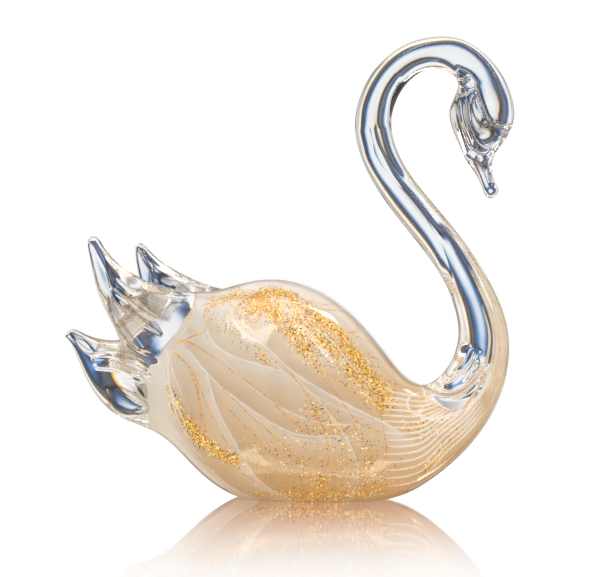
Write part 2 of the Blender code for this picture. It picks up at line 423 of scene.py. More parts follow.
def drawWing(cage, points, faces, side, tip):
    # opens a patch of the flank and draws the glass there out into a wing tip
    firstRow = len(swanForm["tail"]) - 1
    half = swanForm["ringPoints"] // 2
    firstColumn, step = (0, 1) if side > 0 else (half, -1)
    border = patchBorder(points, firstRow, firstColumn, step)
    opened = []
    for row in range(firstRow, firstRow + swanForm["wingPatch"]):
        for column in range(swanForm["wingPatch"]):
            opened.append(faces[row][column if side > 0 else half - 1 - column])
    bmesh.ops.delete(cage, geom=opened, context="FACES")
    seen, even = borderAngles(tip, border, side)
    previous = border
    root = []
    for number in range(len(tip)):
        settled = min(1.0, number / 2.0)
        ring = wingRing(tip, number, side, [a + (b - a) * settled for a, b in zip(seen, even)])[0]
        current = [cage.verts.new(place) for place in ring]
        bandFaces(cage, previous, current)
        if number == 0:
            root = border + current
        previous = current
    cage.faces.new(previous)
    return root


def soften(cage, points, factor):
    bmesh.ops.smooth_vert(cage, verts=points, factor=factor, use_axis_x=True, use_axis_y=True, use_axis_z=True)


def evenOut(cage, roots):
    soft = set(roots)
    for point in roots:
        soft.update(edge.other_vert(point) for edge in point.link_edges)
    soft = sorted(soft, key=lambda point: point.index)
    for _ in range(swanForm["wingBlend"]):
        soften(cage, soft, 0.5)


def smoothed(cage, name, levels):
    # the cage's subdivided surface as a plain mesh
    bmesh.ops.recalc_face_normals(cage, faces=cage.faces)
    mesh = bpy.data.meshes.new(name)
    cage.to_mesh(mesh)
    cage.free()
    piece = bpy.data.objects.new(name, mesh)
    scene.collection.objects.link(piece)
    surface = piece.modifiers.new("surface", "SUBSURF")
    surface.levels = surface.render_levels = levels
    finished = bpy.data.meshes.new_from_object(piece.evaluated_get(bpy.context.evaluated_depsgraph_get()))
    piece.modifiers.clear()
    piece.data = finished
    finished.name = name
    finished.shade_smooth()
    return piece


def places(mesh):
    flat = np.empty(len(mesh.vertices) * 3, np.float32)
    mesh.vertices.foreach_get("co", flat)
    return flat.reshape(-1, 3).astype(np.float64)


def setPlaces(mesh, co):
    mesh.vertices.foreach_set("co", co.astype(np.float32).ravel())
    mesh.update()


def normals(mesh):
    flat = np.empty(len(mesh.vertices) * 3, np.float32)
    mesh.vertices.foreach_get("normal", flat)
    return flat.reshape(-1, 3).astype(np.float64)


def surfaceTree(mesh):
    points = [vertex.co.copy() for vertex in mesh.vertices]
    return BVHTree.FromPolygons(points, [tuple(face.vertices) for face in mesh.polygons])


# The outer glass
def blowSwan():
    cage = bmesh.new()
    points, faces = loft(cage, bodyRings())
    roots = []
    for side, tip in ((-1.0, swanForm["rightWing"]), (1.0, swanForm["leftWing"])):
        roots += drawWing(cage, points, faces, side, tip)
    cage.verts.index_update()
    evenOut(cage, roots)
    swan = smoothed(cage, "swanGlass", swanForm["smoothing"])
    co = places(swan.data)
    shift = (lowCorner.x + highCorner.x) / 2.0 - (co[:, 0].min() + co[:, 0].max()) / 2.0
    co[:, 0] += shift
    co[:, 2] = np.maximum(co[:, 2], 0.0)  # the ground flat
    setPlaces(swan.data, co)
    return swan, shift


def refineTips(swan):
    # more points only where the tooling bends the surface
    for longest in tooling["longest"]:
        spots, turned = seenPlaces(swan)
        bent = reliefAt(spots, turned)[1] & (turned > 0)
        cage = bmesh.new()
        cage.from_mesh(swan.data)
        cage.verts.ensure_lookup_table()
        long = []
        for edge in cage.edges:
            if all(bent[point.index] for point in edge.verts) and edge.calc_length() > longest:
                long.append(edge)
        before = len(cage.verts)
        bmesh.ops.subdivide_edges(
            cage, edges=long, cuts=1, use_grid_fill=True, smooth=tooling["rounding"], smooth_falloff="LINEAR")
        bmesh.ops.triangulate(cage, faces=[face for face in cage.faces if len(face.verts) > 4])
        cage.verts.ensure_lookup_table()
        for _ in range(2):
            soften(cage, cage.verts[before:], 0.4)
        cage.to_mesh(swan.data)
        cage.free()
        swan.data.shade_smooth()


# How the hot glass was pinched and pressed, as the picture shows it. Widths are in pixels and depths in
# millimetres; a positive depth stands out, a negative one is pressed in.
tooling = {
    "longest": (0.0009, 0.00072),  # metres, for each round of finer faces
    "rounding": 0.29,  # how round the finer faces are made
    "waves": 0.00010,
    "creaseWidth": 1.1,  # pixels
    # the thick of the body, where the painted shade at the edges is narrow: middle and half size in metres, along
    # and up
    "thickMiddle": (0.005, 0.052),
    "thickHalf": (0.072, 0.070),
    "strokes": (
        # the fold round the skull's smooth top, down to the forehead
        (((477, 89), (480, 98), (483, 106), (487, 116), (492, 123), (500, 129), (510, 131)), 2.6, -1.6),
        # the knot where the neck's end was pinched under the skull
        (((458, 68), (468, 72), (475.6, 80.7), (474.3, 87), (466.7, 90.8), (457, 95)), 2.4, -1.3),
        (((455, 80), (463, 82), (468, 79)), 2.2, 0.7),
        # the jaw's long folds
        (((464, 88), (466, 100), (467.5, 115), (471, 130), (477, 142), (485, 149), (493, 148)), 2.4, -0.8),
        (((457.5, 104), (460, 120), (464.5, 136), (469.5, 150)), 2.2, -0.5),
        # the bill's root and its grooves
        (((471, 150), (482, 155), (493, 151)), 2.2, -0.8),
        (((477, 158), (482.5, 169), (487, 181), (489, 187)), 1.6, -0.7),
        (((488, 156), (489.6, 166), (490.2, 182)), 1.4, -0.5),
        # the right wing tip's edge, its heel and the left wing tip's edge
        (((94, 246), (107, 271), (112, 287)), 2.2, 0.6),
        (((118, 336), (140, 353), (164, 362)), 3.2, 0.5),
        (((145, 256), (158, 270), (178, 278), (206, 284)), 2.0, 0.5),
        # the tail's wavy folds
        (((92, 352), (112, 351), (134, 357), (150, 366)), 2.0, -0.9),
        (((93, 359), (110, 359), (132, 366), (150, 374)), 1.8, 0.7),
        (((97, 367), (114, 369), (134, 377), (150, 384)), 2.0, -0.9),
        # the creases that turn slowly down the neck
        (((368, 128), (371, 140), (375, 155), (387, 174), (411, 200), (430, 226), (446, 257), (458, 291),
          (466, 325), (469, 345)), 2.4, -0.34),
        (((392, 72), (381, 88), (376, 106), (377, 128), (384, 150), (400, 175)), 2.4, -0.26),
        # the deep fold between the chest and the neck's root
        (((424, 380), (438, 388), (454, 389), (469, 381), (480, 367)), 4.2, -2.6),
        (((428, 392), (444, 398), (462, 394), (476, 381)), 2.6, 1.3),
        (((455, 372), (466, 366), (474, 352)), 2.6, -1.2),
    ),
    # faces pressed with a flat tool: outline, how wide the rim is, depth, how strong the painted shade is there,
    # from which point to which other it fades, and how far the face sinks from the one to the other
    "faces": (
        # the right wing tip
        (((106, 262), (116, 276), (130, 287.5), (146, 291.5), (131, 297.5), (121, 290.5),
          (110, 281)), 3.0, 0.40, (0.32, (112, 268), (146, 290)), 0.0),
        (((138, 299), (150, 293), (167, 294), (185, 296), (181, 303), (172, 314), (167, 318.5), (152, 311.5),
          (143, 303)), 3.0, 0.45, (0.80, (146, 306), (180, 294)), 0.0),
        (((114, 287), (124.6, 296), (138.6, 307), (155, 317), (168, 321), (161, 333), (150, 323), (136, 313),
          (123, 302), (112, 293)), 2.0, -0.5, (0.10, (114, 288), (160, 330)), 0.0),
        (((112, 294), (123, 302.5), (138.6, 316), (151, 326), (161, 334.5), (152, 343), (143, 349),
          (130, 333), (119, 316), (113, 304)), 3.0, 0.50, (0.62, (116, 300), (150, 338)), 0.0),
        (((108.5, 297), (113, 309), (120, 321), (130, 335), (141, 349), (135, 348), (125, 338), (116, 325),
          (109.5, 311)), 1.6, -0.6, (0.75, (110, 300), (150, 360)), 0.0),
        # the left wing tip
        (((158, 273), (167, 274.5), (177, 281), (188, 291.5), (161, 291),
          (158.5, 282)), 3.0, 0.45, (0.85, (162, 276), (200, 296)), 0.0),
        (((139, 251), (143, 249), (154, 265), (152, 272), (144, 262)), 1.6, -0.6, (0.30, (142, 255),
          (152, 270)), 0.0),
        # the tail
        (((71, 332.5), (81, 336.5), (88, 342), (94, 350.5), (88, 354), (79, 347),
          (72, 338)), 1.6, -0.6, (0.25, (74, 336), (90, 350)), 0.0),
        (((105, 388), (119, 387.5), (131, 392), (140, 397), (146, 403), (148, 410), (140, 414), (127, 412),
          (113, 403)), 3.5, 0.60, (0.45, (108, 391), (148, 411)), 3.6),
        (((136, 386), (145, 385), (146, 398), (141, 394)), 1.8, -0.6, (0.80, (140, 390), (160, 400)), 0.0),
        (((116, 356), (128, 352), (136, 359), (126, 358)), 1.4, -0.5, (0.60, (120, 356), (140, 358)), 0.0),
        # the cheek's oval lobe, the cheek, the jaw and the forehead
        (((473, 97), (478, 95), (482, 104), (485, 117), (481, 124), (475, 117),
          (472, 106)), 1.8, 0.8, (0.15, (475, 100), (482, 120)), 0.0),
        (((475, 130), (484, 128), (493, 133), (494, 142), (487, 147),
          (479, 143)), 2.4, 0.8, (0.05, (478, 132), (490, 140)), 0.0),
        (((455, 96), (462, 94), (465, 106), (467, 122), (472, 137), (474, 149), (468, 143), (461, 128),
          (456, 110)), 2.0, 0.4, (0.20, (458, 100), (472, 140)), 0.0),
        (((494, 126), (508, 125), (512, 128), (506, 137), (498, 133)), 1.8, -1.1, (0.80, (502, 131),
          (520, 131)), 0.0),
        (((491, 121), (497, 120), (499, 125), (495, 128), (491, 126)), 1.3, 0.9, (0.40, (493, 124),
          (500, 124)), 0.0),
    ),
}


def resampled(points, step):
    # a smooth line through the points, with even steps
    path = [Vector(point) for point in points]
    if len(path) == 2:
        fine = [path[0].lerp(path[1], n / 8.0) for n in range(9)]
    else:
        fine = []
        ends = [path[0] * 2 - path[1]] + path + [path[-1] * 2 - path[-2]]
        for a, b, c, d in zip(ends, ends[1:], ends[2:], ends[3:]):
            for number in range(8):
                t = number / 8.0
                curved = 2 * b + (c - a) * t + (2 * a - 5 * b + 4 * c - d) * t * t
                fine.append(0.5 * (curved + (3 * b - a - 3 * c + d) * t ** 3))
        fine.append(path[-1])
    even, left = [fine[0]], 0.0
    for first, second in zip(fine, fine[1:]):
        length = (second - first).length
        while left + length >= step and length > 0:
            first = first.lerp(second, (step - left) / length)
            even.append(first.copy())
            length = (second - first).length
            left = 0.0
        left += length
    return even


def seenPlaces(swan):
    # where each point of the glass is seen in the picture, both sides folded onto the near one
    tree = surfaceTree(swan.data)
    co = places(swan.data)
    out = normals(swan.data)
    nearSide = np.where(co[:, 1] * out[:, 1] >= 0, -1.0, 1.0)
    folded = co.copy()
    folded[:, 1] = np.abs(co[:, 1]) * nearSide
    facing = out.copy()
    facing[:, 1] = -np.abs(out[:, 1])
    away = folded - np.array(aimPoint)
    depth = view["distance"] - away @ np.array(backward)
    scale = view["pixelsPerMetre"] * view["distance"] / depth
    halfWide, halfHigh = view["pictureSize"][0] / 2, view["pictureSize"][1] / 2
    across, rise = away @ np.array(rightward) * scale, away @ np.array(upward) * scale
    spots = np.stack([halfWide + across, halfHigh - rise], 1)
    toEye = np.array(eyePoint) - folded
    toEye /= np.linalg.norm(toEye, axis=1)[:, None]
    turned = np.clip(np.sum(facing * toEye, axis=1) * 2.5, 0.0, 1.0)
    for number in np.where(turned > 0)[0]:
        place = Vector(folded[number])
        hit = tree.ray_cast(eyePoint, (place - eyePoint).normalized())[0]
        if hit is None or (hit - place).length > 0.004:
            turned[number] = 0.0
    return spots, turned


def outlineDistance(spots, outline):
    # how far each point is from a closed outline, and whether it is inside
    corners = np.array(outline)
    following = np.roll(corners, -1, axis=0)
    inside = np.zeros(len(spots), bool)
    closest = np.full(len(spots), 1e9)
    for a, b in zip(corners, following):
        crosses = (a[1] > spots[:, 1]) != (b[1] > spots[:, 1])
        with np.errstate(divide="ignore", invalid="ignore"):
            where = (b[0] - a[0]) * (spots[:, 1] - a[1]) / (b[1] - a[1]) + a[0]
        inside ^= crosses & (spots[:, 0] < where)
        along = np.clip(((spots - a) @ (b - a)) / ((b - a) @ (b - a)), 0.0, 1.0)
        closest = np.minimum(closest, np.linalg.norm(spots - a - along[:, None] * (b - a), axis=1))
    return closest, inside


def smoothOutline(outline):
    closed = resampled(outline + outline[:1], 2.0)
    return [tuple(point) for point in closed[:-1]]


def alongShare(spots, paintedShadeSpan):
    # how far each point lies from a face's darkest point to its clearest
    darkest, clearest = np.array(paintedShadeSpan[1]), np.array(paintedShadeSpan[2])
    return np.clip((spots - darkest) @ (clearest - darkest) / np.sum((clearest - darkest) ** 2), 0.0, 1.0)


def reliefAt(spots, turned):
    # how far each point moves, in metres, and whether the surface bends there
    moved = np.zeros(len(spots))
    bent = np.zeros(len(spots), bool)
    for line, width, depth in tooling["strokes"]:
        path = np.array([tuple(point) for point in resampled(line, 1.0)])
        margin = 3 * width
        close = np.all((spots > path.min(0) - margin) & (spots < path.max(0) + margin), axis=1)
        near = np.where(close & (turned > 0))[0]
        if len(near):
            away = np.linalg.norm(spots[near, None] - path[None], axis=2).min(1)
            moved[near] += depth / 1000.0 * np.exp(-(away / width) ** 2) * turned[near]
            bent[near] |= away < width * 1.8
    for outline, rim, depth, smoke, slant in tooling["faces"]:
        away, inside = outlineDistance(spots, smoothOutline(outline))
        pressed = (depth - slant * alongShare(spots, smoke)) / 1000.0
        moved += pressed * np.where(inside, 1.0 - np.exp(-(away / rim) ** 1.5), 0.0) * turned
        bent |= np.where(inside, away < 4.0, away < 1.5)
    return moved, bent


def markGlass(swan, spots, turned):
    # painted shade: where the pressed faces are shaded dark blue, and a dark, honey-coloured line painted along
    # each face's outline
    smoke = np.zeros(len(spots))
    crease = np.zeros(len(spots))
    for outline, _, _, paintedShadeSpan, _ in tooling["faces"]:
        away, inside = outlineDistance(spots, smoothOutline(outline))
        smoke = np.maximum(smoke, np.where(inside, paintedShadeSpan[0] * (1.0 - alongShare(spots, paintedShadeSpan)), 0.0))
        crease = np.maximum(crease, np.exp(-(away / tooling["creaseWidth"]) ** 2))
    crease *= turned
    # where the glass's painted edge shade is kept narrow: the thick of the body
    co = places(swan.data)
    along = (co[:, 0] - tooling["thickMiddle"][0]) / tooling["thickHalf"][0]
    up = (co[:, 2] - tooling["thickMiddle"][1]) / tooling["thickHalf"][1]
    thick = np.clip((1.15 - np.hypot(along, up)) / 0.25, 0.0, 1.0)
    for name, values in (("smoke", smoke * turned), ("crease", crease), ("thick", thick)):
        layer = swan.data.attributes.new(name, "FLOAT", "POINT")
        layer.data.foreach_set("value", values.astype(np.float32))


def toolGlass(swan):
    spots, turned = seenPlaces(swan)
    markGlass(swan, spots, turned)
    co = places(swan.data)
    moved = reliefAt(spots, turned)[0]
    for number in range(len(co)):  # the faint waves of a hand-worked surface
        place = Vector(co[number])
        moved[number] += tooling["waves"] * noise.noise(place * 32.0) * min(1.0, place.z / 0.01)
    shape = co + normals(swan.data) * moved[:, None]
    shape[:, 2] = np.clip(shape[:, 2], 0.0, highCorner.z)
    setPlaces(swan.data, shape)


# The milk core under the glass: how far each of its cross-sections reaches towards the glass's outlines
milkCore = {
    "ringPoints": 24,
    "smoothing": 3,
    "floorGap": 0.0016,
    "reach": (
        ("body", 0, (0.05, 0.74, 0.52)), ("body", 1, (0.52, 0.88, 0.78)), ("body", 2, (0.82, 0.93, 0.88)),
        ("body", 3, (0.90, 0.94, 0.92)), ("body", 4, (0.93, 0.95, 0.93)), ("body", 5, (0.93, 0.95, 0.93)),
        ("body", 6, (0.93, 0.95, 0.93)), ("body", 7, (0.91, 0.95, 0.92)), ("body", 8, (0.84, 0.94, 0.90)),
        ("chest", 0, (0.55, 0.92, 0.86)), ("chest", 1, (0.10, 0.88, 0.80)), ("chest", 2, (-0.15, 0.82, 0.70)),
        ("chest", 3, (-0.30, 0.76, 0.56)), ("chest", 4, (-0.36, 0.71, 0.42)), ("neck", 0, (-0.40, 0.66, 0.30)),
        ("neck", 1, (-0.42, 0.60, 0.18)),
    ),
    # how far from the white petals' edges, as the picture shows them, each petal swells and is painted lighter,
    # and how high it swells
    "petalReach": 15.0,  # pixels
    "petalRise": 0.0011,  # metres
}

# White threads along the petals' edges, and the chest's ribs: picture lines, then thickness in millimetres
whiteThreads = {
    "sides": 8,
    "sunk": 0.25,  # of the thickness, into the core
    "petals": (
        (((270, 287), (250, 295), (233, 307), (233.5, 320), (246, 334), (267, 348), (295, 374), (328, 394),
          (359, 411),
          (382, 421.6), (400, 432)), 0.32),
        (((206, 310), (206.7, 331), (216.7, 346.6), (233.5, 357), (259.5, 365), (292, 375)), 0.30),
        (((187.6, 349.6), (210.5, 377), (232, 395.6), (259.5, 415.5), (282.5, 429), (305.5, 436),
          (344, 436)), 0.30),
        (((206, 371), (216.7, 408), (236.6, 446), (258, 480), (287, 498)), 0.30),
        (((169, 356), (174, 376), (183, 396)), 0.30),
        (((171.5, 423), (184, 443), (200, 461), (220, 479), (240, 492), (258, 499)), 0.32),
        (((164, 326), (167, 353), (170, 388), (178, 419), (191.6, 444)), 0.36),
        (((161.5, 334), (168, 325), (179, 322.6), (189, 333)), 0.36),
        (((171, 388), (174, 399), (179, 411), (186, 424)), 0.62),
        (((292, 375), (318, 400), (345, 436), (358, 470), (352, 497)), 0.18),
        (((305, 320), (335, 345), (362, 378), (384, 392)), 0.20),
        (((222, 358), (250, 386), (285, 410), (325, 424), (360, 424)), 0.16),
        (((262, 350), (300, 386), (340, 408), (378, 424)), 0.16),
    ),
    "curl": (
        (((419, 393), (410, 396), (406, 404), (410, 412), (419, 417.5), (434, 419.6), (452, 416), (469, 408),
          (484, 391.5),
          (492, 372), (495, 352)), 0.75),
    ),
    "ribStarts": (391, 397, 403, 409, 415, 421, 427, 433, 439.5, 446.5, 454, 462, 470, 478, 486),
    "ribStartX": 387.0,
    "ribThickness": 0.52,
}

# Gold trails of fine beads: picture lines
goldTrails = {
    "spacing": 0.00140,
    "beadSize": 0.00039,
    "scatter": 0.00014,
    "lift": 0.0004,
    "shades": (0.24, 0.60),
    "seed": 11,
    "lines": (
        ((175, 348), (184.5, 340), (218, 360), (243, 379), (267, 397), (290, 418.5), (310, 435)),
        ((175, 353), (192, 369.5), (207.5, 405), (226, 441.5), (233.5, 454)),
        ((195, 374), (203, 417), (209, 435)),
        ((215, 380), (246, 411), (273, 435), (311.6, 470.6), (322, 481), (310, 498)),
        ((292, 374), (313, 405), (330, 451), (322, 475)),
        ((379, 400), (385, 438.5), (386.6, 454), (374, 484), (359, 497)),
        ((309, 301.5), (326, 305), (336, 304)),
        ((319, 310), (342, 311), (356, 321), (357, 332), (344, 333)),
        ((357, 337), (372, 344), (386, 357), (393, 368)),
        ((359, 354.6), (380.6, 361), (399, 383)),
        ((370.6, 371), (385, 379), (399, 386)),
        ((315, 368), (330, 376), (344, 383), (357.5, 394), (374, 418.5)),
        ((321, 374), (330, 386), (345, 406), (359, 423), (379, 432)),
        ((221, 402), (236.5, 417), (252, 432), (267, 449), (281, 464)),
        ((206, 309), (218, 304), (230, 300), (239.6, 289)),
        ((206, 309), (204.5, 319), (207.5, 331), (195, 336), (184.5, 340)),
        ((190.6, 369.5), (196.7, 389), (201, 417), (209, 435), (213.6, 443)),
        ((221, 458), (246, 475), (258, 484)),
        ((403, 493), (425, 472), (447, 445), (463, 428.5)),
        ((262, 484), (290, 490), (330, 492), (368, 489), (392, 482)),
    ),
}

# Gold leaf torn into flecks: picture lines, half width in pixels, how dense
goldLeaf = {
    "density": 4600000.0,  # flecks in a square metre where the leaf is whole
    "size": 0.00052,
    "thickness": 0.00012,
    "shades": (0.0, 1.0),
    "seed": 4,
    "clouds": (
        (((248, 305), (262, 303), (275, 304), (290, 312), (305, 325), (320, 338), (338, 351), (352, 364),
          (365, 378), (377, 392),
          (384, 399)), 13.0, 0.75),
        (((256, 297), (267, 293.5), (280, 293.5), (291, 296), (303, 306), (318, 317), (335, 331), (350, 348),
          (363, 366),
          (376, 386)), 5.0, 1.1),
        (((250, 308), (266, 308), (278, 318), (290, 332), (303, 350)), 7.0, 0.8),
        (((307, 353), (313, 361), (318, 369)), 5.0, 0.5),
        (((172, 391), (180, 411), (190.6, 423), (200, 437), (213.6, 449), (232, 457), (238, 460)), 4.5, 0.95),
        (((192, 428), (203, 443), (218, 453)), 6.0, 0.7),
        (((176, 318), (184, 315), (192, 313)), 3.0, 0.5),
        (((221, 322), (234, 328), (246, 334)), 12.0, 0.16),
        (((262, 355), (265, 362)), 5.0, 0.5),
        (((315, 412), (328, 422), (340, 432)), 10.0, 0.22),
        (((322, 478), (322, 484)), 5.0, 0.4),
        (((212, 304), (228, 298), (240, 290)), 4.0, 0.5),
        (((360, 436), (366, 460), (360, 485)), 14.0, 0.10),
        (((300, 440), (340, 450), (375, 470)), 22.0, 0.07),
        (((250, 455), (300, 480), (340, 485)), 18.0, 0.08),
        (((408, 428), (430, 430), (455, 420)), 9.0, 0.26),
        (((424, 470), (440, 452), (456, 436)), 5.0, 0.26),
        (((250, 492), (300, 496), (350, 495), (380, 490)), 4.0, 0.35),
    ),
}

# Beige filaments drawn up the neck out of the core: place in the cross-section (towards the outer side, across)
neckFilaments = {
    "sides": 8,
    "firstRow": 1,  # of the chest's
    "strands": (
        # outward, across, thickness in millimetres, rows
        (0.72, -0.30, 0.50, 9), (0.60, -0.52, 0.40, 8), (0.46, -0.62, 0.34, 7), (0.80, 0.05, 0.42, 10),
        (0.66, 0.36, 0.40, 8),
        (0.50, 0.58, 0.34, 7), (0.36, -0.45, 0.28, 7), (0.30, 0.40, 0.28, 7), (0.88, -0.12, 0.30, 9),
        (0.22, -0.66, 0.26, 6),
        (0.86, 0.24, 0.26, 9), (0.10, 0.10, 0.26, 6),
    ),
}


# The clear glass: its index, its colour where it is clear, and the painted shade laid on it at the edges, in
# pressed faces and along creases
glassLook = {
    "index": 1.5,
    "edgeFrom": 0.45,  # 0 faces the eye, 1 is side-on
    "clear": (0.985, 0.985, 0.98, 1.0),
    # painted shade: the glass turns honey-brown where it is seen side-on
    "edge": (0.42, 0.33, 0.21, 1.0),
    # painted shade: the dark blue in the pressed faces
    "smoke": (0.035, 0.055, 0.11, 1.0),
    # painted shade: the dark honey-brown line along the pressed faces' outlines
    "crease": (0.20, 0.10, 0.03, 1.0),
}

# The milk glass: its tones from the floor upwards, and what is mixed over them, among them painted light beside
# each petal's edge and painted shadow on the edge's other side
milkLook = {
    "upwards": (
        (0.0, 0.88, 0.55, 0.21), (0.25, 0.81, 0.57, 0.29), (0.48, 0.80, 0.60, 0.37), (0.68, 0.92, 0.82, 0.68),
        (0.90, 1.0, 0.97, 0.93),
    ),
    "streak": (0.80, 0.56, 0.30, 1.0),
    # partly the paler milk at a petal's edge, partly painted light on the swelling's lit side
    "petal": (0.94, 0.88, 0.80, 1.0),
    # painted shadow beside each petal's edge
    "hollow": (0.64, 0.45, 0.26, 1.0),
    "leafGround": (0.93, 0.60, 0.14, 1.0),
    "rear": (0.97, 0.88, 0.70, 1.0),
}


def intoGlass(direction, normal):
    # bends a ray as it enters the glass
    ratio = 1.0 / glassLook["index"]
    cosine = -direction.dot(normal)
    root = math.sqrt(1.0 - ratio * ratio * (1.0 - cosine * cosine))
    return (direction * ratio + normal * (ratio * cosine - root)).normalized()


# Finds where a point of the picture lies on the core behind the glass
class Tracer:
    def __init__(self, glass, core):
        self.glass = surfaceTree(glass.data)
        self.core = surfaceTree(core.data)

    def seen(self, point):
        direction = pictureRay(point)
        spot, normal, _, _ = self.glass.ray_cast(eyePoint, direction)
        if spot is None:
            return None
        inner = intoGlass(direction, normal)
        hit, facing, _, _ = self.core.ray_cast(spot + inner * 0.00002, inner)
        return None if hit is None else (hit, facing)

    def line(self, points, lift, step=3.0):
        # a picture line laid on the core, and lifted off it
        laid = []
        for point in resampled(points, step):
            found = self.seen(point)
            if found:
                laid.append(found[0] + found[1] * lift)
        return laid


def evened(path):
    # takes the small jumps out of a laid line
    for _ in range(3):
        path = [path[0]] + [(a + b * 2 + c) / 4.0 for a, b, c in zip(path, path[1:], path[2:])] + [path[-1]]
    return path


def pictureMap(tracer):
    # where in the picture each part of the core is seen
    found, seenAt = [], []
    for row in range(275, 506, 4):
        for column in range(140, 512, 4):
            hit = tracer.seen((column, row))
            if hit:
                found.append((hit[0].x, abs(hit[0].y), hit[0].z))
                seenAt.append((column, row))
    tree = KDTree(len(found))
    for number, spot in enumerate(found):
        tree.insert(spot, number)
    tree.balance()
    return tree, seenAt


def lineDistance(spots, line):
    # how far each picture point is from the line, and on which side of it
    path = np.array([tuple(point) for point in resampled(line, 3.0)])
    offset = spots[:, None] - path[None]
    away = np.linalg.norm(offset, axis=2)
    closest = away.argmin(1)
    along = np.gradient(path, axis=0)[closest]
    nearest = offset[np.arange(len(spots)), closest]
    side = np.sign(along[:, 0] * nearest[:, 1] - along[:, 1] * nearest[:, 0])
    return away.min(1), side


def markCore(core, tracer):
    # swells the petals, marks where they are painted lighter and where painted shadow lies beside their edges, and
    # marks where the gold leaf lies
    tree, seenAt = pictureMap(tracer)
    co = places(core.data)
    spots = np.zeros((len(co), 2))
    for number, place in enumerate(co):
        near = tree.find_n((place[0], abs(place[1]), place[2]), 3)
        weights = [1.0 / (item[2] + 0.0004) for item in near]
        for item, weight in zip(near, weights):
            spots[number] += np.array(seenAt[item[1]]) * weight / sum(weights)
    petal, hollow = np.zeros(len(co)), np.zeros(len(co))
    for line, thickness in whiteThreads["petals"]:
        away, side = lineDistance(spots, line)
        reach = milkCore["petalReach"] * thickness / 0.3
        swelling = np.where(side > 0, np.exp(-away / reach), np.exp(-(away / 2.5) ** 2))
        petal = np.maximum(petal, swelling * thickness / 0.3)
        # painted shadow: the far side of each petal's edge is marked to be darkened
        hollow = np.maximum(hollow, np.where(side < 0, np.exp(-away / 8.0), 0.0) * thickness / 0.3)
    leaf = np.zeros(len(co))
    for line, halfWidth, dense in goldLeaf["clouds"]:
        away, _ = lineDistance(spots, line)
        leaf += dense * np.exp(-(away / halfWidth) ** 3)
    for number, place in enumerate(co):
        patchy = noise.noise(Vector(place) * 190.0) * 0.9 + noise.noise(Vector(place) * 420.0) * 0.6
        leaf[number] *= min(1.6, max(0.0, 0.75 + patchy))
    marks = {"petal": petal, "hollow": hollow, "leaf": np.clip(leaf, 0.0, 1.5)}
    out = normals(core.data)
    co += out * (petal * milkCore["petalRise"])[:, None]
    co[:, 2] = np.maximum(co[:, 2], milkCore["floorGap"])
    setPlaces(core.data, co)
    for name, values in marks.items():
        layer = core.data.attributes.new(name, "FLOAT", "POINT")
        layer.data.foreach_set("value", values.astype(np.float32))


def gatherCore(shift):
    cage = bmesh.new()
    rings = []
    for part, number, shares in milkCore["reach"]:
        row = swanForm[part][number]
        rings.append(crossSection(row, plainShare, shares, milkCore["ringPoints"]))
    loft(cage, rings)
    core = smoothed(cage, "milkCore", milkCore["smoothing"])
    co = places(core.data)
    co[:, 0] += shift
    co[:, 2] = np.maximum(co[:, 2], milkCore["floorGap"])
    setPlaces(core.data, co)
    return core


def curveOf(name, paths):
    # paths: points and their thickness, laid on both sides of the swan
    curve = bpy.data.curves.new(name, "CURVE")
    curve.dimensions = "3D"
    for points, thickness in paths:
        for mirror in (1.0, -1.0):
            spline = curve.splines.new("POLY")
            spline.points.add(len(points) - 1)
            for number, point in enumerate(points):
                spline.points[number].co = (point[0], point[1] * mirror, point[2], 1.0)
                fromEnd = min(number, len(points) - 1 - number)
                uneven = 1.0 + 0.35 * noise.noise(Vector(point) * 70.0)
                spline.points[number].radius = thickness * uneven * min(1.0, 0.25 + 0.15 * fromEnd)
    piece = bpy.data.objects.new(name, curve)
    scene.collection.objects.link(piece)
    return piece


def drawThreads(name, paths, sides, material):
    former = Former(name + "Tree", {"Sides": sides, "Thickness": 0.001})
    entry = former.entry
    circle = {"Resolution": entry["Sides"], "Radius": entry["Thickness"]}
    profile = former.node("GeometryNodeCurvePrimitiveCircle", None, circle)
    radius = former.node("GeometryNodeInputRadius")
    tube = former.node("GeometryNodeCurveToMesh", None, {
        "Curve": entry["Geometry"], "Profile Curve": profile, "Scale": radius, "Fill Caps": True})
    return former.form(tube, curveOf(name, paths), material)


def randomBetween(former, low, high, inputs=None):
    # a number, or three, of its own for each bead or fleck
    several = isinstance(low, tuple)
    settings = {"data_type": "FLOAT_VECTOR" if several else "FLOAT"}
    first = 0 if several else 2
    ends = {first: low, first + 1: high, **(inputs or {})}
    return former.node("FunctionNodeRandomValue", settings, ends, out=first // 2)


def shaded(former, laid, shades):
    # each bead or fleck keeps a number of its own for its colour and its painted glint
    chance = randomBetween(former, shades[0], shades[1], {"Seed": 5})
    settings = {"data_type": "FLOAT", "domain": "INSTANCE"}
    kept = {"Geometry": laid, "Name": "shade", "Value": chance}
    return former.node("GeometryNodeStoreNamedAttribute", settings, kept)


def layBeads(name, paths, material):
    sizes = {"Spacing": "spacing", "Bead": "beadSize", "Scatter": "scatter", "Seed": "seed"}
    former = Former(name + "Tree", {socket: goldTrails[value] for socket, value in sizes.items()})
    entry = former.entry
    seed = {"Seed": entry["Seed"]}
    stepped = {"Curve": entry["Geometry"], "Length": entry["Spacing"]}
    spots = former.node("GeometryNodeResampleCurve", {"mode": "LENGTH"}, stepped)
    jitter = randomBetween(former, (-1.0, -1.0, -1.0), (1.0, 1.0, 1.0), seed)
    offset = former.node("ShaderNodeVectorMath", {"operation": "SCALE"}, {0: jitter, "Scale": entry["Scatter"]})
    moved = former.node("GeometryNodeSetPosition", None, {"Geometry": spots, "Offset": offset})
    bead = former.node("GeometryNodeMeshIcoSphere", None, {"Radius": entry["Bead"], "Subdivisions": 1})
    grown = randomBetween(former, 0.8, 1.25, seed)
    laid = former.node("GeometryNodeInstanceOnPoints", None, {"Points": moved, "Instance": bead, "Scale": grown})
    return former.form(shaded(former, laid, goldTrails["shades"]), curveOf(name, paths), material)


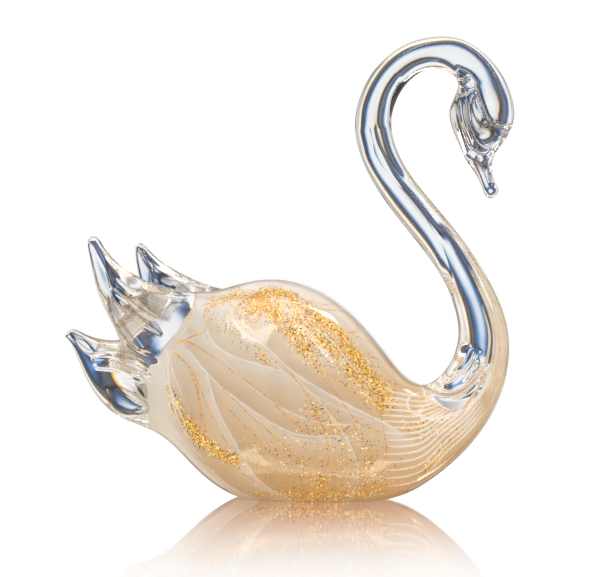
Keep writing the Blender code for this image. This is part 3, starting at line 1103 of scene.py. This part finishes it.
def scatterLeaf(name, core, material):
    sizes = {"Density": "density", "Size": "size", "Thickness": "thickness", "Seed": "seed"}
    former = Former(name + "Tree", {socket: goldLeaf[value] for socket, value in sizes.items()})
    entry = former.entry
    share = former.node("GeometryNodeInputNamedAttribute", {"data_type": "FLOAT"}, {"Name": "leaf"})
    density = former.node("ShaderNodeMath", {"operation": "MULTIPLY"}, [share, entry["Density"]])
    surface = {"Mesh": entry["Geometry"], "Density": density, "Seed": entry["Seed"]}
    spots = former.node("GeometryNodeDistributePointsOnFaces", None, surface)
    turn = Sock(former, spots.socket.node.outputs["Rotation"])
    spin = randomBetween(former, (-0.5, -0.5, 0.0), (0.5, 0.5, 6.28))
    angled = former.node("FunctionNodeEulerToRotation", None, [spin])
    turned = former.node("FunctionNodeRotateRotation", {"rotation_space": "LOCAL"}, [turn, angled])
    fleck = former.node("GeometryNodeMeshCone", None, {
        "Vertices": 4, "Radius Top": 0.0, "Radius Bottom": entry["Size"], "Depth": entry["Thickness"]})
    grown = randomBetween(former, (0.5, 0.5, 0.6), (1.3, 1.1, 1.4))
    laid = former.node("GeometryNodeInstanceOnPoints", None, {
        "Points": spots, "Instance": fleck, "Rotation": turned, "Scale": grown})
    carrier = bpy.data.objects.new(name, core.data.copy())
    scene.collection.objects.link(carrier)
    return former.form(shaded(former, laid, goldLeaf["shades"]), carrier, material)


def chestRibs():
    # the ribs sweep forward from the body's front and turn up, nested under the curl
    ribs = []
    count = len(whiteThreads["ribStarts"])
    for number, height in enumerate(whiteThreads["ribStarts"]):
        share = number / (count - 1.0)
        low = 1.0 - share
        start = whiteThreads["ribStartX"] - 6.0 * math.exp(-((share - 0.22) / 0.16) ** 2)
        ribs.append((
            (start + 3.0 * math.sin(number * 2.4), height),
            (403 + 2 * share, height + 3.0 - 5.0 * share),
            (420 + 4 * share, height + 6.0 - 16.0 * share),
            (438 + 8 * share, height + 5.0 * low - 34.0 * share),
            (456 + 12 * share, height - 2.0 * low - 54.0 * share),
            (471 + 14 * share, height - 14.0 * low - 76.0 * share),
        ))
    return ribs


def neckPaths(shift):
    rows = list(swanForm["chest"] + swanForm["neck"])
    first = neckFilaments["firstRow"]
    paths = []
    for outward, across, thickness, count in neckFilaments["strands"]:
        points = []
        for number, row in enumerate(rows[first:first + count]):
            upper = Vector((row[0], 0.0, row[1] - swanForm["groundOff"])) * hundredth
            lower = Vector((row[2], 0.0, row[3] - swanForm["groundOff"])) * hundredth
            middle, half = (upper + lower) / 2.0, (upper - lower) / 2.0
            settle = smoothStep(number, -1.0, 3.0) * 0.25 + 0.75
            point = middle - half * outward * settle + Vector((0.0, half.length * row[4] * across * settle, 0.0))
            points.append((point.x + shift, point.y, point.z))
        fine = resampled(points, 0.003)
        paths.append((fine, thickness))
    return paths


def glassyColour(name, base, roughness, paintedGlow, bump=None):
    # a material for what is sealed in the glass: base is a function that gives the tone on the material's paint;
    # the tone also glows, a painted glow for light scattered inside the glass
    material = bpy.data.materials.new(name)
    paint = Paint(material)
    tone, streaks = base(paint)
    inputs = {"Base Color": tone, "Roughness": roughness, "Emission Color": tone, "Emission Strength": paintedGlow}
    if bump:
        inputs["Normal"] = paint.bump(streaks, *bump)
    paint.finish(paint.node("ShaderNodeBsdfPrincipled", None, inputs))
    return material


def clearGlass():
    look = glassLook
    material = bpy.data.materials.new("clearGlass")
    paint = Paint(material)
    waves = paint.noise(paint.objectPlace(), 28.0, 2.0)
    facing = paint.node("ShaderNodeLayerWeight", None, {0: 0.5}, out=1)
    thick = paint.attribute("thick")
    # painted shade: darker honey-brown towards the outline, where the glass turns side-on, less of it in the thick
    # of the body
    edge = ((facing - look["edgeFrom"] - thick * 0.30) * 6.0).clipped() * (0.8 - thick * 0.25)
    tone = paint.mix(edge, look["clear"], look["edge"])
    # painted shade in the pressed faces, and a painted dark line along their outlines
    tone = paint.mix(paint.attribute("smoke"), tone, look["smoke"])
    tone = paint.mix(paint.attribute("crease") * 0.9, tone, look["crease"])
    shader = paint.node("ShaderNodeBsdfPrincipled", None, {
        "Base Color": tone,
        "Roughness": 0.0,
        "IOR": look["index"],
        "Transmission Weight": 1.0,
        "Normal": paint.bump(waves, 0.05, 0.002),
    })
    paint.finish(shader)
    return material


def milkTone(paint):
    place = paint.objectPlace()
    apart = paint.node("ShaderNodeSeparateXYZ", None, {0: place}).socket.node.outputs
    along, height = Sock(paint, apart[0]), Sock(paint, apart[2]) / 0.12
    cloudy = paint.noise(place, 30.0, 4.0) * 0.24 - 0.12
    tone = paint.ramp((height + cloudy).clipped(), milkLook["upwards"])
    streaks = paint.noise(place, 160.0, 5.0)
    rear = ((along + 0.042) * -50.0).clipped()
    layers = (
        ((streaks * 0.4).clipped(), "streak"),
        # painted light beside each petal's edge and painted shadow on its other side
        ((paint.attribute("petal") * 0.72).clipped(), "petal"),
        ((paint.attribute("hollow") * 0.55).clipped(), "hollow"),
        ((paint.attribute("leaf") * 0.75 - 0.08).clipped(), "leafGround"),
        (rear * 0.6, "rear"),
    )
    for share, layer in layers:
        tone = paint.mix(share, tone, milkLook[layer])
    return tone, streaks


def whiteTone(paint):
    mottle = paint.noise(paint.objectPlace(), 240.0, 3.0)
    return paint.mix(mottle, (0.97, 0.96, 0.93, 1.0), (0.90, 0.85, 0.77, 1.0)), mottle


def honeyTone(paint):
    mottle = paint.noise(paint.objectPlace(), 90.0, 4.0)
    return paint.ramp(mottle, (
        (0.28, 0.56, 0.34, 0.13), (0.42, 0.88, 0.70, 0.46), (0.60, 0.95, 0.87, 0.72),
        (0.75, 0.74, 0.52, 0.28))), mottle


def goldFoil():
    material = bpy.data.materials.new("goldFoil")
    paint = Paint(material)
    shade = paint.attribute("shade")
    # a random tone for each fleck, partly the leaf's own uneven gold, partly painted shade and light: the darkest
    # copies stand for flecks turned from the light, the palest for flecks turned to it
    tone = paint.ramp(shade, (
        (0.0, 0.14, 0.05, 0.01), (0.16, 0.22, 0.08, 0.01), (0.28, 0.60, 0.28, 0.01), (0.58, 0.90, 0.50, 0.03),
        (0.82, 1.0, 0.66, 0.10), (0.95, 1.0, 0.90, 0.60),
    ))
    # painted glint: the paler flecks and beads glow
    paintedGlint = paint.ramp(shade, (
        (0.16, 0.02, 0.01, 0.0), (0.30, 0.40, 0.18, 0.0), (0.60, 0.85, 0.44, 0.01), (0.84, 1.1, 0.70, 0.10),
        (0.95, 2.2, 1.9, 1.1),
    ))
    paint.finish(paint.node("ShaderNodeBsdfPrincipled", None, {
        "Base Color": tone, "Metallic": 0.7, "Roughness": 0.35,
        "Emission Color": paintedGlint, "Emission Strength": 0.55,
    }))
    return material


# The studio: light panels on four sides, each in a dark frame, with a softbox between every two of them
studio = {
    "panelLevel": 0.92,
    "roomLevel": 1.0,
    "overheadLevel": 2.3,
    "panelShift": (8.0, 5.0),  # degrees to the right and up
    "boxLevel": 6.0,
    "boxHeight": 54.0,  # degrees above the floor
    "boxReach": 9.0,
    "unevenness": 10.0,  # degrees by which the frames' edges wander
    "floorRadius": 0.42,
    "floorReflection": 0.95,
    "floorReach": 0.32,
    "floorWhite": 1.02,
    "floorSees": (1.20, 1.35, 1.62, 1.0),
    "floorTint": (1.08, 0.96, 0.80, 1.0),
}


def lightStudio():
    world = bpy.data.worlds.new("studio")
    scene.world = world
    paint = Paint(world)
    ray = paint.node("ShaderNodeTexCoord", None, None, out=0)
    separate = paint.node("ShaderNodeSeparateXYZ", None, {0: ray}).socket.node
    x, y, z = (Sock(paint, separate.outputs[n]) for n in range(3))
    around = (x.math("ARCTAN2", y) + azimuth) * (2.0 / math.pi) + 100.5
    sideways = (around.math("FRACT") - 0.5) * 90.0  # degrees from the nearest panel's middle
    height = z.math("ARCSINE") * (180.0 / math.pi)
    wander = (paint.noise(ray, 2.6, 3.0) - 0.5) * studio["unevenness"]
    across = sideways - (1.0 - abs(sideways) / 45.0) * studio["panelShift"][0]
    rise = height - studio["panelShift"][1]
    apart = (((across * across + rise * rise).math("SQRT") + wander) / 90.0).clipped()
    panel, plain, high = studio["panelLevel"], studio["roomLevel"], studio["overheadLevel"]
    cool = paint.ramp(apart, (
        (0.0, panel, panel, panel), (0.075, 0.92, 0.93, 0.95), (0.10, 0.78, 0.83, 0.90),
        (0.122, 0.52, 0.64, 0.81),
        (0.145, 0.17, 0.38, 0.68), (0.17, 0.06, 0.15, 0.34), (0.205, 0.045, 0.055, 0.09),
        (0.26, 0.12, 0.14, 0.18), (0.305, 0.08, 0.065, 0.06), (0.33, 0.85, 0.46, 0.09),
        (0.355, 1.0, 0.86, 0.52), (0.40, plain, plain, plain), (0.46, 0.80, 0.81, 0.86),
        (0.50, 0.60, 0.60, 0.64), (0.58, 0.34, 0.24, 0.14), (0.64, 0.34, 0.26, 0.18),
        (0.74, high, high, high),
    ))
    warm = paint.ramp(apart, (
        (0.0, panel, panel, panel), (0.085, 0.88, 0.88, 0.90), (0.115, 0.80, 0.78, 0.74),
        (0.13, 0.90, 0.70, 0.36),
        (0.142, 0.60, 0.28, 0.06), (0.155, 0.11, 0.08, 0.07), (0.19, 0.055, 0.06, 0.08),
        (0.235, 0.17, 0.19, 0.24), (0.285, 0.07, 0.08, 0.11), (0.315, 0.16, 0.30, 0.66),
        (0.35, 0.82, 0.90, 1.0), (0.40, plain, plain, plain), (0.46, 0.84, 0.82, 0.80),
        (0.50, 0.62, 0.58, 0.54), (0.58, 0.30, 0.22, 0.14), (0.64, 0.30, 0.25, 0.20),
        (0.74, high, high, high),
    ))
    which = ((sideways * 0.06 - height * 0.03) + 0.5).clipped()
    room = paint.mix(which, warm, cool)
    corner = 45.0 - abs(sideways)
    above = height - studio["boxHeight"]
    inBox = ((studio["boxReach"] - abs(corner * 1.4).math("MAXIMUM", abs(above * 0.6))) * 0.4).clipped()
    room = paint.mix(inBox, room, grey(studio["boxLevel"]))
    seen = paint.node("ShaderNodeLightPath", None, None, out=0)
    light = seen.socket.node.outputs
    dull = 1.0 - Sock(paint, light["Is Singular Ray"])
    fromFloor = dull * Sock(paint, light["Is Glossy Ray"]) * Sock(paint, light["Ray Depth"]).math("LESS_THAN", 2.5)
    colour = paint.mix(seen, room, (1.0, 1.0, 1.0, 1.0))
    colour = paint.mix(fromFloor, colour, studio["floorSees"])
    paint.finish(paint.node("ShaderNodeBackground", None, {0: colour, 1: 1.0}), "ShaderNodeOutputWorld")
    scene.view_settings.view_transform = "Standard"


def layFloor():
    grid = bmesh.new()
    bmesh.ops.create_circle(grid, cap_ends=True, segments=96, radius=studio["floorRadius"])
    mesh = bpy.data.meshes.new("floor")
    grid.to_mesh(mesh)
    grid.free()
    floor = bpy.data.objects.new("floor", mesh)
    scene.collection.objects.link(floor)
    floor.data.transform(Matrix.Translation((0.0, 0.0, -0.0003)))
    material = bpy.data.materials.new("glossyWhite")
    paint = Paint(material)
    place = paint.objectPlace()
    distance = paint.node("ShaderNodeVectorMath", {"operation": "LENGTH"}, {0: place}, out=1)
    reach = {0: distance, 1: 0.0, 2: studio["floorReach"], 3: 1.0, 4: 0.0}
    fade = paint.node("ShaderNodeMapRange", {"interpolation_type": "SMOOTHSTEP"}, reach)
    white = paint.node("ShaderNodeEmission", None, {0: (1.0, 1.0, 1.0, 1.0), 1: studio["floorWhite"]})
    gloss = paint.node("ShaderNodeBsdfGlossy", None, {0: studio["floorTint"], 1: 0.05})
    share = (fade * studio["floorReflection"]).clipped()
    shader = paint.node("ShaderNodeMixShader", None, {0: share, 1: white, 2: gloss})
    paint.finish(shader)
    floor.data.materials.append(material)


def laidPaths(lines):
    # lines: points in the picture, thickness, and how far off the core in metres
    paths = []
    for line, thickness, lift in lines:
        laid = tracer.line(line, lift)
        if len(laid) > 3:
            paths.append((evened(laid), thickness))
    return paths


placeCamera()
lightStudio()
layFloor()
print("studio lit")
swanGlass, shiftX = blowSwan()
print("glass blown", len(swanGlass.data.polygons))
core = gatherCore(shiftX)
tracer = Tracer(swanGlass, core)
markCore(core, tracer)
tracer = Tracer(swanGlass, core)
print("core marked", len(core.data.polygons))

gold = goldFoil()
# the white, honey and milk glass glow with painted light
white = glassyColour("whiteGlass", whiteTone, 0.3, 0.30)
honey = glassyColour("honeyGlass", honeyTone, 0.3, 0.25)
core.data.materials.append(glassyColour("milkGlass", milkTone, 0.4, 0.24, (0.15, 0.002)))
above = 0.001 * (1.0 - whiteThreads["sunk"])
ribThickness = whiteThreads["ribThickness"]
whiteLines = whiteThreads["petals"] + whiteThreads["curl"]
petalPaths = laidPaths((line, thickness, thickness * above) for line, thickness in whiteLines)
ribPaths = laidPaths((line, ribThickness, ribThickness * 0.0007) for line in chestRibs())
trailPaths = laidPaths((line, 1.0, goldTrails["lift"]) for line in goldTrails["lines"])
threads = drawThreads("whiteThreads", petalPaths, whiteThreads["sides"], white)
ribs = drawThreads("chestRibs", ribPaths, whiteThreads["sides"], white)
trails = layBeads("goldTrails", trailPaths, gold)
leaf = scatterLeaf("goldLeaf", core, gold)
filaments = drawThreads("neckFilaments", neckPaths(shiftX), neckFilaments["sides"], honey)
print("decoration laid")

refineTips(swanGlass)
toolGlass(swanGlass)
swanGlass.data.materials.append(clearGlass())
print("glass tooled")
for piece in (swanGlass, core, threads, ribs, trails, leaf, filaments):
    print(piece.name, "triangles", sum(len(face.vertices) - 2 for face in piece.data.polygons))
    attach(piece, "root")
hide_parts("swan")
